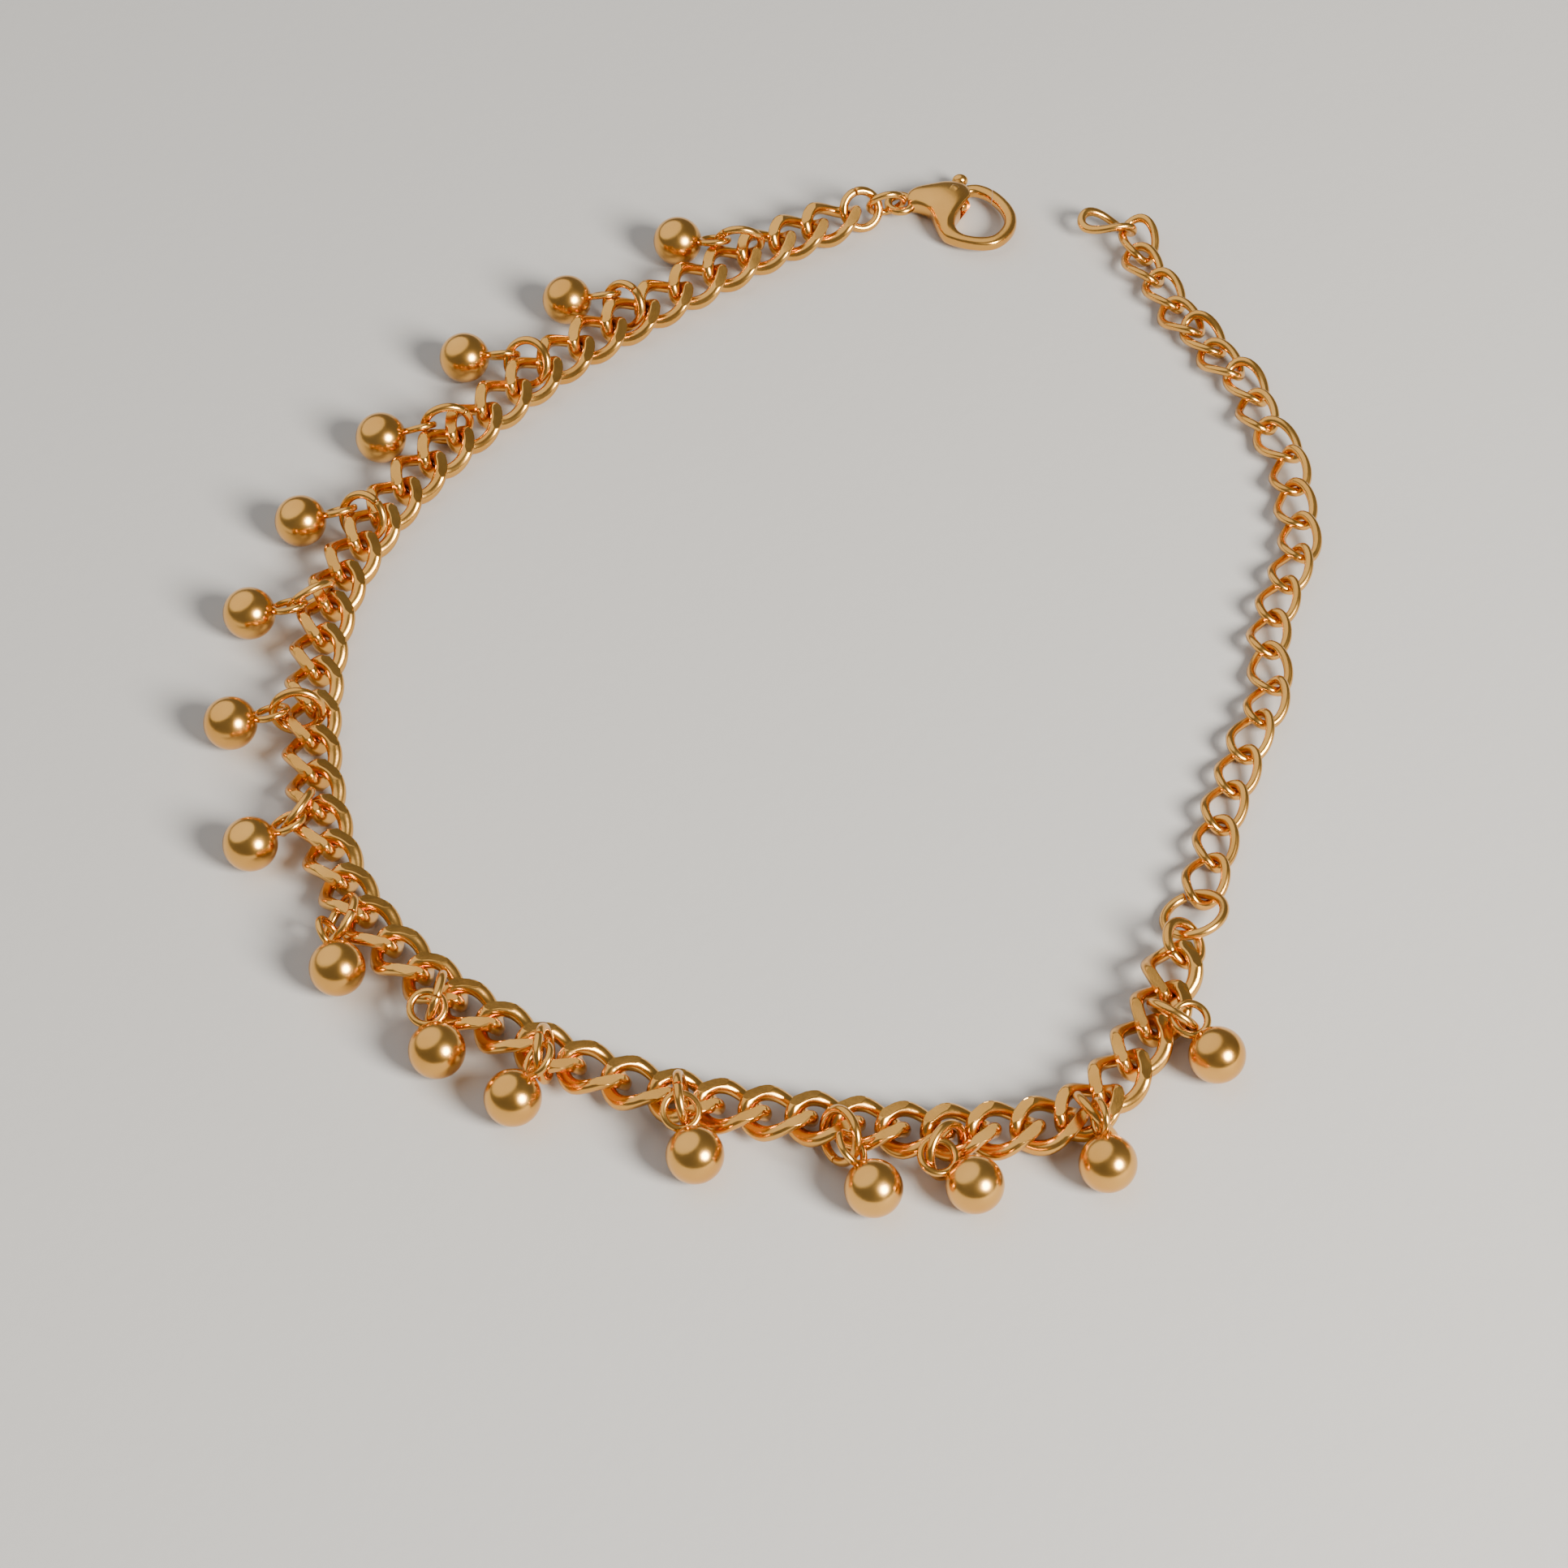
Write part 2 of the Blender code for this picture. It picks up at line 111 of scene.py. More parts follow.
# Charms from the clasp end: ring x, y, z, compass of its tilt, tilt; loop compass, loop rise,
# loop twist; ball x, y; and where the ring's split lies
CHARMS = (
    (-3.7, 56.75, 2.15, 90, 75, -10, 10, 30, -8.8, 57, 140),
    (-13.05, 49.04, 2.16, -130, 65, 0, 10, 40, -17.7, 49.9, 160),
    (-20.6, 42.2, 2.3, -120, 55, 0, 5, 50, -25.7, 43.1, 60),
    (-26.65, 35.35, 2.2, -80, 90, 15, 5, 45, -31.8, 34, 130),
    (-32.55, 24.95, 2.35, -120, 60, 10, 10, 40, -37.4, 24.9, 150),
    (-35.9, 16.7, 2.25, 125, 65, 5, 10, 30, -40.5, 15.2, 120),
    (-35.95, 4.95, 2.5, -85, 80, 10, 10, 30, -40.9, 4.2, 70),
    (-35.25, -4.4, 2.1, 155, 65, 30, 10, 30, -38.4, -7.3, 110),
    (-31.4, -14.25, 2.05, 170, 55, 105, 0, -60, -31.3, -18.5, 170),
    (-24.25, -21.5, 2.35, 170, 75, 105, 20, 5, -23.9, -25.6, 150),
    (-16.45, -26.45, 2.75, -5, 80, 50, 30, 35, -18.5, -29.6, 170),
    (-6.89, -30.29, 2.67, 5, 80, 110, 25, 0, -6, -34.3, 178),
    (3.8, -32.95, 2.3, -150, 65, 120, 20, -45, 6, -37, 20),
    (10.95, -33.99, 2.11, -35, 70, 145, 15, 5, 12.8, -36.7, 40),
    (21.15, -31.15, 2.1, 35, 65, 100, 25, 80, 21.8, -35, 70),
    (27, -22.8, 2.1, 55, 65, 125, 15, 0, 29.8, -26, 10),
)

# Extender links from its free end: x, y, z, heading, roll, lean
EXTENDER = (
    (26.95, 59.65, 1.4, -15, -25, -5),
    (29.5, 57.85, 1.3, -85, -10, -10),
    (29.75, 54.95, 1.05, -70, -10, 0),
    (31.25, 51.95, 0.95, -70, -5, 0),
    (32.4, 48.6, 1, -60, 0, 5),
    (34.1, 46.6, 1, -60, 0, -5),
    (35.25, 43.65, 1, -60, 0, 5),
    (37.15, 41.1, 1, -65, 0, -5),
    (37.7, 37.65, 1.1, -80, 5, 5),
    (39.05, 34.35, 1.1, -60, 10, 0),
    (39.7, 30.9, 1.25, -90, 25, 0),
    (39.8, 27.3, 1.2, -85, 20, 0),
    (39.85, 23.8, 1.15, -90, 15, 0),
    (38.95, 20.65, 1.1, -110, 15, 0),
    (37.7, 17.35, 1.05, -110, 10, 0),
    (36.7, 13.9, 1.05, -100, 10, 5),
    (36.45, 10.3, 1.05, -85, 15, 0),
    (36, 6.95, 1.15, -110, 15, 0),
    (34.55, 3.8, 1, -115, 10, -5),
    (33.35, 0.5, 0.85, -110, 5, 0),
    (32.1, -2.9, 0.85, -110, 0, 0),
    (31.2, -6.3, 0.85, -100, -5, 0),
    (30.2, -9.8, 0.95, -110, -5, 0),
)
# First and last link of each run of the extender
OPEN_RUNS = ((1, 6), (7, 12), (13, 18), (19, 23))
# How much higher the visible links lie, because their wire is thicker than the frame's
EXTENDER_LIFT = 0.06

# Round rings: name, centre-line radius, wire, then x, y, z, heading, roll, lean, and the split
ROUND_RINGS = (
    ("big_ring", 2.2, 0.73, 29.17, -13.13, 1.2, -100, 20, 10, 200),
    ("connector_ring", 1.6, 0.76, 28.23, -15.98, 1.56, -105, 140, 0, 30),
    ("clasp_ring", 1.55, 0.75, 6.45, 61.3, 1.65, 20, 50, -5, 100),
    ("clasp_small_ring", 1.45, 0.6, 8.55, 62, 1.7, 15, 110, -5, 260),
)

# Clasp's body from above, as sections across it: left edge x, y, right edge x, y, height
BODY_SECTIONS = (
    (10.35, 63.6, 10.35, 62.3, 1.1),
    (10.7, 63.95, 10.7, 62.05, 1.6),
    (11.3, 64.3, 11.25, 61.95, 1.9),
    (12.6, 64.7, 12.05, 61.45, 2.1),
    (14.0, 65.0, 12.35, 60.85, 2.2),
    (15.3, 64.65, 12.5, 60.15, 2.2),
    (15.85, 63.4, 12.65, 59.6, 2.15),
    (15.2, 62.1, 12.85, 59.05, 2.0),
    (14.55, 60.85, 13.05, 58.65, 1.75),
    (14.3, 59.75, 13.35, 58.2, 1.45),
    (14.55, 58.85, 14.0, 57.8, 1.25),
    (15.2, 58.35, 15.0, 57.4, 1.15),
)
# Middle line of the claw beyond them, then the sections of its tip
CLAW = ((16.4, 57.65), (17.5, 57.85), (18.3, 58.6), (18.8, 59.6), (18.9, 60.7), (18.65, 61.7))
CLAW_WIDTH = 1.08
TIP_SECTIONS = (
    (17.85, 62.15, 18.7, 62.75, 1.08),
    (17.55, 62.6, 18.25, 63.4, 1.05),
    (17.2, 63.0, 17.75, 63.95, 1.02),
    (16.85, 63.3, 17.15, 64.35, 1.0),
)
# Eye: x, y, centre-line radius, wire
EYE = (9.75, 62.65, 1.0, 0.7)
# Pivot of the lever, and the slot around it: radius, radius where it is wide, first and last
# angle of the wide part, height
PIVOT = (14.3, 63.5)
SLOT = (1.0, 2.25, -105, 110, 1.3)

# Where the claw's tip and the lever's end meet: distances from the pivot
CLAW_FROM = 3.23
LEVER_REACH = 3.17
# Room beside the claw's tip that the lever's end turns in: its middle, its size, and the height
# of the round pillars that trim the claw and the lever
TIP_ROOM = (16.9, 64.0)
TIP_ROOM_SIZE = (1.6, 3.2, 4)
CLAW_TRIM_HEIGHT = 3
LEVER_TRIM_HEIGHT = 4
# How much less high the pin is than the clasp's whole height, rounding of its rims, and the
# play of the lever around it
PIN_SUNK = 0.08
PIN_EDGE = 0.1
PIN_PLAY = 0.06

# Lever's root around the pin: radius, height, rounding of its rims
LEVER_ROOT = (0.78, 0.9, 0.12)
# Clasp's lever, its tab and its stem as sections in the same way
LEVER_SECTIONS = (
    (14.25, 64.2, 14.4, 62.9, 0.9),
    (14.9, 64.45, 15.05, 63.4, 0.95),
    (15.6, 64.72, 15.65, 63.7, 0.98),
    (16.25, 64.75, 16.15, 63.75, 1.0),
    (16.85, 64.55, 16.7, 63.5, 1.0),
    (17.35, 64.25, 17.1, 63.2, 1.0),
    (17.85, 63.85, 17.45, 62.75, 1.0),
)
TAB_SECTIONS = (
    (14.85, 63.4, 14.15, 63.0, 0.8),
    (15.15, 62.8, 14.5, 62.4, 0.8),
    (15.4, 62.2, 14.9, 61.85, 0.6),
)
STEM_SECTIONS = (
    (13.95, 63.9, 14.85, 63.7, 0.85),
    (14.1, 64.75, 15.0, 64.5, 0.85),
    (14.35, 65.4, 15.2, 65.15, 0.85),
)
# Thumb knob: x, y, radius; and what its width, depth and height are multiplied by
KNOB = (14.85, 65.55, 0.62)
KNOB_STRETCH = (1.08, 0.86, 0.95)

# Solder collar on a ball: angle that it covers from the ball's pole, how far it is drawn out,
# what its end is multiplied by, and the place that shrinks towards, in radii of the ball
COLLAR_ANGLE = 9
COLLAR_RISE = 0.1
COLLAR_TAPER = (0.2, 0.8, 0.8)
COLLAR_PLACE = 1.04

# Points around each oval or ring, and sides of its wire
CURB_MESH = (48, 16)
OPEN_MESH = (40, 12)
LOOP_MESH = (40, 12)
EYE_MESH = (40, 14)
ROUND_RING_MESH = (48, 14)
JUMP_RING_MESH = (44, 12)
# Segments and rings of each round body, and sides of the clasp's pillars and slot
BALL_MESH = (48, 24)
KNOB_MESH = (32, 16)
PILLAR_SIDES = 32
TRIM_SIDES = 96
SLOT_SIDES = 48

# Eased edges: segments, then for each kind the angle from which an edge is eased, and how wide
# the ground faces' edges are and what share of the wire the edges of a ring's split are
EDGE_SEGMENTS = 3
PILLAR_EDGE_ANGLE = 50
GROUND_EDGE_ANGLE = 32
GROUND_EDGE = 0.09
SPLIT_EDGE_ANGLE = 60
SPLIT_EDGE_SEGMENTS = 2
SPLIT_EDGE = 0.08
# Angles up to which wire, balls and cast metal are shaded smooth
SMOOTH_WIRE = 35
SMOOTH_BALL = 50
SMOOTH_CAST = 40

# Gold: scale to the metre and detail of the noise in its tone, its roughness, its hairline
# scratches and its grain, the part of a noise's range that counts, and the shares of the mean
# roughness that it runs between
TONE_NOISE = (260.0, 3.0)
CLOUD_NOISE = (900.0, 4.0)
HAIR_NOISE = (1.0, 2.0)
GRAIN_NOISE = (5200.0, 3.0)
NOISE_RANGE = (0.3, 0.7)
ROUGHNESS_SHARES = (0.85, 1.2)
# How the scratches' noise is turned, in radians, and stretched; depths of scratches and grain
# in metres
HAIR_TURN = (0.5, 0.3, 0.8)
HAIR_STRETCH = (14000, 900, 2600)
HAIR_DEPTH = 0.00001
GRAIN_DEPTH = 0.00002
# Strength of the fine grain and of the hairline scratches in each finish
FINISHES = {
    "gold_links": (0.15, 0.08),
    "gold_balls": (0.1, 0.12),
    "gold_rings": (0.15, 0.12),
    "gold_clasp": (0.12, 0.15),
}

# Floor: roughness, specular level, and its grain's scale and detail, strength and depth
FLOOR_ROUGHNESS = 0.85
FLOOR_GLOSS = 0.25
FLOOR_NOISE = (900.0, 2.0)
FLOOR_GRAIN = 0.08
FLOOR_GRAIN_DEPTH = 0.0002
# Light from all around, and the lights: name, place and width in metres, power, colour
ROOM_COLOUR = (0.92, 0.9, 0.88)
ROOM_STRENGTH = 0.2
LIGHTS = (
    ("key", (0.34, -0.3, 0.3), 0.23, 8.0, (1, 0.95, 0.86)),
    ("wide", (-0.45, 0.3, 0.7), 1.8, 7.5, (1, 0.97, 0.93)),
)
# Camera: place in the tables' axes, angle from straight down, sensor's width in millimetres,
# and the nearest distance that it sees, in metres
CAMERA_PLACE = (0, -180.406, 215)
CAMERA_TILT = 40
SENSOR_WIDTH = 36
CLIP_START = 0.01


# Settings


class AnkletChainSettings(bpy.types.PropertyGroup):
    """Sizes of the curb chain's links"""

    length: FloatProperty(
        name="Link length",
        description="Outside length of a curb link",
        default=5.64 * MM,
        unit="LENGTH",
    )
    width: FloatProperty(
        name="Link width",
        description="Outside width of a curb link",
        default=4.5 * MM,
        unit="LENGTH",
    )
    wire: FloatProperty(
        name="Wire",
        description="Diameter of the wire",
        default=1.1 * MM,
        unit="LENGTH",
    )
    twist: FloatProperty(
        name="Twist",
        description="Turn from one end of a link to the other",
        default=math.radians(-122),
        subtype="ANGLE",
    )
    flat: FloatProperty(
        name="Ground face",
        description="Height over a link's middle at which its bars are ground flat",
        default=0.9 * MM,
        unit="LENGTH",
    )


class AnkletExtenderSettings(bpy.types.PropertyGroup):
    """Sizes of the extender's open links"""

    length: FloatProperty(
        name="Link length",
        description="Outside length of an open link",
        default=5.12 * MM,
        unit="LENGTH",
    )
    width: FloatProperty(
        name="Link width",
        description="Outside width of an open link",
        default=3.5 * MM,
        unit="LENGTH",
    )
    wire: FloatProperty(
        name="Wire",
        description="Diameter of the wire",
        default=0.72 * MM,
        unit="LENGTH",
    )
    twist: FloatProperty(
        name="Twist",
        description="Turn from one end of a link to the other",
        default=math.radians(-88),
        subtype="ANGLE",
    )


class AnkletCharmSettings(bpy.types.PropertyGroup):
    """Sizes of the charms' balls, loops and jump rings"""

    ball: FloatProperty(
        name="Ball",
        description="Radius of a ball",
        default=2.0 * MM,
        unit="LENGTH",
    )
    loop: FloatProperty(
        name="Loop",
        description="Centre-line radius of a ball's loop",
        default=1.2 * MM,
        unit="LENGTH",
    )
    loop_wire: FloatProperty(
        name="Loop wire",
        description="Wire diameter of a ball's loop",
        default=0.54 * MM,
        unit="LENGTH",
    )
    reach: FloatProperty(
        name="Loop distance",
        description="From the ball's middle to the loop's middle",
        default=3.1 * MM,
        unit="LENGTH",
    )
    ring: FloatProperty(
        name="Ring",
        description="Centre-line radius of a charm's jump ring",
        default=1.8 * MM,
        unit="LENGTH",
    )
    ring_wire: FloatProperty(
        name="Ring wire",
        description="Wire diameter of a jump ring",
        default=0.68 * MM,
        unit="LENGTH",
    )
    split: FloatProperty(
        name="Split",
        description="Width of the gap in a jump ring",
        default=0.07 * MM,
        unit="LENGTH",
    )


class AnkletClaspSettings(bpy.types.PropertyGroup):
    """Sizes of the clasp, and how finely its arms are drawn"""

    middle: FloatProperty(
        name="Middle height",
        description="Height of the clasp's middle",
        default=1.1 * MM,
        unit="LENGTH",
    )
    rounding: FloatProperty(
        name="Rounding",
        description="Share of a section's width and height that each of its round corners takes",
        default=0.36,
        min=0.05,
        max=0.49,
        subtype="FACTOR",
    )
    pin: FloatProperty(
        name="Pin",
        description="Radius of the pin that the lever turns on",
        default=0.4 * MM,
        unit="LENGTH",
    )
    steps: IntProperty(
        name="Steps",
        description="Sections drawn from each given one to the next",
        default=4,
        min=1,
    )


class AnkletGoldSettings(bpy.types.PropertyGroup):
    """Tones and polish of the plating"""

    light: FloatVectorProperty(
        name="Light tone",
        description="The plating's colour where it is lightest",
        default=(0.86, 0.47, 0.12),
        min=0,
        max=1,
        subtype="COLOR",
    )
    deep: FloatVectorProperty(
        name="Deep tone",
        description="The plating's colour where it is deepest",
        default=(0.76, 0.38, 0.085),
        min=0,
        max=1,
        subtype="COLOR",
    )
    roughness: FloatProperty(
        name="Roughness",
        description="Mean roughness of the polished plating",
        default=0.21,
        min=0.02,
        max=1,
        subtype="FACTOR",
    )


class AnkletStageSettings(bpy.types.PropertyGroup):
    """Floor and lens"""

    colour: FloatVectorProperty(
        name="Floor colour",
        description="Colour of the plain floor",
        default=(0.52, 0.515, 0.51),
        min=0,
        max=1,
        subtype="COLOR",
    )
    floor: FloatProperty(
        name="Floor",
        description="Width of the floor",
        default=3.0,
        unit="LENGTH",
    )
    lens: FloatProperty(
        name="Lens",
        description="Focal length in millimetres",
        default=87.58,
        unit="CAMERA",
    )


# Places


def at(x, y, z=0.0):
    """A point of the tables, in metres in the frame."""
    return Vector((x - MIDDLE_X, y - MIDDLE_Y, z)) * MM


def raised(x, y, height):
    """A point of the tables at a height that is already in metres."""
    return at(x, y) + Vector((0, 0, height))


def turned(about_x, about_y, about_z):
    """The rotation by these angles in degrees, about X, then Y, then Z."""
    turns = (math.radians(about_x), math.radians(about_y), math.radians(about_z))
    return Euler(turns, "XYZ").to_matrix().to_4x4()


def spun(angle):
    """The rotation by this angle in degrees about Z alone."""
    return Matrix.Rotation(math.radians(angle), 4, "Z")


def placing(x, y, z, heading, roll, lean):
    """Where a link or ring of the tables goes; a positive lean lifts its front end."""
    return Matrix.Translation(at(x, y, z)) @ turned(roll, -lean, heading)


# Modelling steps


def fresh():
    """Back to object mode with nothing selected."""
    if bpy.context.mode != "OBJECT":
        bpy.ops.object.mode_set(mode="OBJECT")
    bpy.ops.object.select_all(action="DESELECT")


def pick(*objects):
    """Selects these objects alone, the first one active."""
    fresh()
    for obj in objects:
        obj.select_set(True)
    bpy.context.view_layer.objects.active = objects[0]


def edit(obj):
    """Opens the object in edit mode with all of it selected."""
    pick(obj)
    bpy.ops.object.mode_set(mode="EDIT")
    bpy.ops.mesh.select_all(action="SELECT")


def apply(obj, kind, **settings):
    """Adds a modifier with these settings and applies it."""
    pick(obj)
    modifier = obj.modifiers.new(kind.title(), kind)
    for key, value in settings.items():
        setattr(modifier, key, value)
    bpy.ops.object.modifier_apply(modifier=modifier.name)
    return obj


def remove(*objects):
    """Deletes the objects and their meshes."""
    for obj in objects:
        mesh = obj.data
        bpy.data.objects.remove(obj, do_unlink=True)
        if mesh.users == 0:
            bpy.data.meshes.remove(mesh)


def weld(obj, *others, operation="UNION"):
    """Joins the others to the object, or takes them out of it, and removes them."""
    for other in others:
        apply(obj, "BOOLEAN", operation=operation, object=other, solver="EXACT")
    remove(*others)
    return obj


def copy_to(template, matrix):
    """A copy with its own mesh, placed by the matrix."""
    copy = template.copy()
    copy.data = template.data.copy()
    bpy.context.scene.collection.objects.link(copy)
    copy.matrix_world = matrix
    return copy


def settle(objects, name, material, smooth_below=SMOOTH_WIRE):
    """Joins the objects into one piece at the origin, unturned and unscaled."""
    pick(*objects)
    if len(objects) > 1:
        bpy.ops.object.join()
    bpy.ops.object.transform_apply(location=True, rotation=True, scale=True)
    piece = bpy.context.object
    edit(piece)
    bpy.ops.mesh.normals_make_consistent(inside=False)
    bpy.ops.object.mode_set(mode="OBJECT")
    bpy.ops.object.shade_smooth_by_angle(angle=math.radians(smooth_below))
    piece.name = name
    piece.data.name = name
    piece.data.materials.clear()
    piece.data.materials.append(material)
    return piece


def wire_oval(length, width, wire, around, sides):
    """A closed oval of round wire, flat: a curve circle drawn out, thickened and made a mesh.

    The circle has four spans, and a bevel of resolution n gives the wire 4 + 2n sides.
    """
    fresh()
    bpy.ops.curve.primitive_bezier_circle_add(radius=(width - wire) / 2)
    oval = bpy.context.object
    bpy.ops.object.mode_set(mode="EDIT")
    bpy.ops.curve.select_all(action="SELECT")
    bpy.ops.transform.resize(value=((length - wire) / (width - wire), 1, 1))
    bpy.ops.object.mode_set(mode="OBJECT")
    oval.data.resolution_u = around // 4
    oval.data.bevel_depth = wire / 2
    oval.data.bevel_resolution = (sides - 4) // 2
    bpy.ops.object.convert(target="MESH")
    return bpy.context.object


def twisted_link(settings, around, sides):
    """An oval link of round wire, twisted from one end to the other."""
    link = wire_oval(settings.length, settings.width, settings.wire, around, sides)
    return apply(
        link, "SIMPLE_DEFORM", deform_method="TWIST", deform_axis="X", angle=settings.twist
    )


def split_ring(radius, wire, split, around, sides):
    """A jump ring: a filled section spun almost all the way round, its ends' edges eased."""
    fresh()
    bpy.ops.mesh.primitive_circle_add(vertices=sides, radius=wire / 2, fill_type="NGON")
    ring = bpy.context.object
    edit(ring)
    bpy.ops.transform.rotate(value=math.pi / 2, orient_axis="X", center_override=(0, 0, 0))
    bpy.ops.transform.translate(value=(radius, 0, 0))
    bpy.ops.mesh.spin(
        steps=around,
        angle=math.tau - split / radius,
        center=(0, 0, 0),
        axis=(0, 0, 1),
        use_normal_flip=False,
    )
    bpy.ops.object.mode_set(mode="OBJECT")
    return apply(
        ring,
        "BEVEL",
        width=wire * SPLIT_EDGE,
        segments=SPLIT_EDGE_SEGMENTS,
        limit_method="ANGLE",
        angle_limit=math.radians(SPLIT_EDGE_ANGLE),
    )


# Materials


def noise(tree, scale, detail):
    """A noise texture of that many features to the metre."""
    node = tree.nodes.new("ShaderNodeTexNoise")
    node.inputs["Scale"].default_value = scale
    node.inputs["Detail"].default_value = detail
    return node


def bump(tree, strength, depth):
    """A bump node whose full height is the depth, in metres."""
    node = tree.nodes.new("ShaderNodeBump")
    node.inputs["Strength"].default_value = strength
    node.inputs["Distance"].default_value = depth
    return node


def link_nodes(tree, *pairs):
    """Links each pair's output to its input."""
    for out, into in pairs:
        tree.links.new(out, into)


def gold(name, light, deep, roughness, grain, scratches):
    """Polished gold plating: drifting tone, cloudy roughness, fine grain, hairline scratches."""
    material = bpy.data.materials.new(name)
    material.use_nodes = True
    tree = material.node_tree
    shader = tree.nodes["Principled BSDF"]
    shader.inputs["Metallic"].default_value = 1.0
    place = tree.nodes.new("ShaderNodeTexCoord")

    drift = noise(tree, *TONE_NOISE)
    tone = tree.nodes.new("ShaderNodeValToRGB")
    deep_end, light_end = tone.color_ramp.elements
    deep_end.position, light_end.position = NOISE_RANGE
    deep_end.color = (*deep, 1)
    light_end.color = (*light, 1)

    cloud = noise(tree, *CLOUD_NOISE)
    rough = tree.nodes.new("ShaderNodeMapRange")
    rough.inputs["From Min"].default_value = NOISE_RANGE[0]
    rough.inputs["From Max"].default_value = NOISE_RANGE[1]
    rough.inputs["To Min"].default_value = roughness * ROUGHNESS_SHARES[0]
    rough.inputs["To Max"].default_value = roughness * ROUGHNESS_SHARES[1]

    stretch = tree.nodes.new("ShaderNodeMapping")
    stretch.inputs["Rotation"].default_value = HAIR_TURN
    stretch.inputs["Scale"].default_value = HAIR_STRETCH
    hair = noise(tree, *HAIR_NOISE)
    fine = noise(tree, *GRAIN_NOISE)
    hair_bump = bump(tree, scratches, HAIR_DEPTH)
    fine_bump = bump(tree, grain, GRAIN_DEPTH)
    link_nodes(
        tree,
        (place.outputs["Object"], drift.inputs["Vector"]),
        (drift.outputs["Fac"], tone.inputs["Fac"]),
        (tone.outputs["Color"], shader.inputs["Base Color"]),
        (place.outputs["Object"], cloud.inputs["Vector"]),
        (cloud.outputs["Fac"], rough.inputs["Value"]),
        (rough.outputs["Result"], shader.inputs["Roughness"]),
        (place.outputs["Object"], stretch.inputs["Vector"]),
        (stretch.outputs["Vector"], hair.inputs["Vector"]),
        (place.outputs["Object"], fine.inputs["Vector"]),
        (hair.outputs["Fac"], hair_bump.inputs["Height"]),
        (fine.outputs["Fac"], fine_bump.inputs["Height"]),
        (hair_bump.outputs["Normal"], fine_bump.inputs["Normal"]),
        (fine_bump.outputs["Normal"], shader.inputs["Normal"]),
    )
    return material


def material_of(kind):
    """The material of that name, made the first time it is asked for."""
    known = bpy.data.materials.get(kind)
    if known:
        return known
    settings = bpy.context.scene.anklet_gold
    grain, scratches = FINISHES[kind]
    return gold(kind, settings.light, settings.deep, settings.roughness, grain, scratches)


def pale_paper(colour):
    """The floor's matt material, with a faint grain."""
    material = bpy.data.materials.new("pale_floor")
    material.use_nodes = True
    tree = material.node_tree
    shader = tree.nodes["Principled BSDF"]
    shader.inputs["Base Color"].default_value = (*colour, 1)
    shader.inputs["Roughness"].default_value = FLOOR_ROUGHNESS
    shader.inputs["Specular IOR Level"].default_value = FLOOR_GLOSS
    place = tree.nodes.new("ShaderNodeTexCoord")
    grain = noise(tree, *FLOOR_NOISE)
    grain_bump = bump(tree, FLOOR_GRAIN, FLOOR_GRAIN_DEPTH)
    link_nodes(
        tree,
        (place.outputs["Object"], grain.inputs["Vector"]),
        (grain.outputs["Fac"], grain_bump.inputs["Height"]),
        (grain_bump.outputs["Normal"], shader.inputs["Normal"]),
    )
    return material


# Curb chain and extender


def smooth_route(points, steps):
    """A smooth curve through the points, with this many steps from each to the next."""
    ends = np.vstack((2 * points[0] - points[1], points, 2 * points[-1] - points[-2]))
    share = np.linspace(0, 1, steps, endpoint=False)[:, None]
    spans = []
    for i in range(1, len(ends) - 2):
        leave = (ends[i + 1] - ends[i - 1]) / 2
        arrive = (ends[i + 2] - ends[i]) / 2
        spans.append(
            (2 * share**3 - 3 * share**2 + 1) * ends[i]
            + (share**3 - 2 * share**2 + share) * leave
            + (3 * share**2 - 2 * share**3) * ends[i + 1]
            + (share**3 - share**2) * arrive
        )
    spans.append(ends[-2][None])
    return np.vstack(spans)


def curb_rows():
    """Link number to its x, y, z, heading, roll and lean, as the frame's links are placed."""
    numbers = [station[0] for station in STATIONS]
    rolls = {station[0]: station[3] for station in STATIONS}
    route = smooth_route(np.array([station[1:3] for station in STATIONS], float), ROUTE_STEPS)
    along = np.r_[0, np.cumsum(np.linalg.norm(np.diff(route, axis=0), axis=1))]
    turn = np.linspace(0, 2 * np.pi, FRAME_LINK_POINTS, endpoint=False)
    line_y = FRAME_LINK_HALF_WIDTH * np.sin(turn)
    line_z = -FRAME_LINK_RISE * np.sin(2 * turn)

    def point(distance):
        return np.array([np.interp(distance, along, route[:, axis]) for axis in (0, 1)])

    rows = {}
    for i, (before, after) in enumerate(zip(numbers, numbers[1:])):
        start = along[i * ROUTE_STEPS]
        end = along[(i + 1) * ROUTE_STEPS]
        for link in range(before, after - 1, -1):
            share = (before - link) / (before - after)
            distance = start + (end - start) * share
            x, y = point(distance)
            ahead = point(distance + HEADING_REACH) - point(distance - HEADING_REACH)
            heading = math.degrees(math.atan2(ahead[1], ahead[0]))
            roll = rolls[before] + (rolls[after] - rolls[before]) * share
            tip = math.radians(roll)
            lowest = (math.sin(tip) * line_y + math.cos(tip) * line_z).min()
            rows[link] = (x, y, FRAME_LINK_WIRE - lowest + CHAIN_GAP, heading, roll, 0)
    return rows


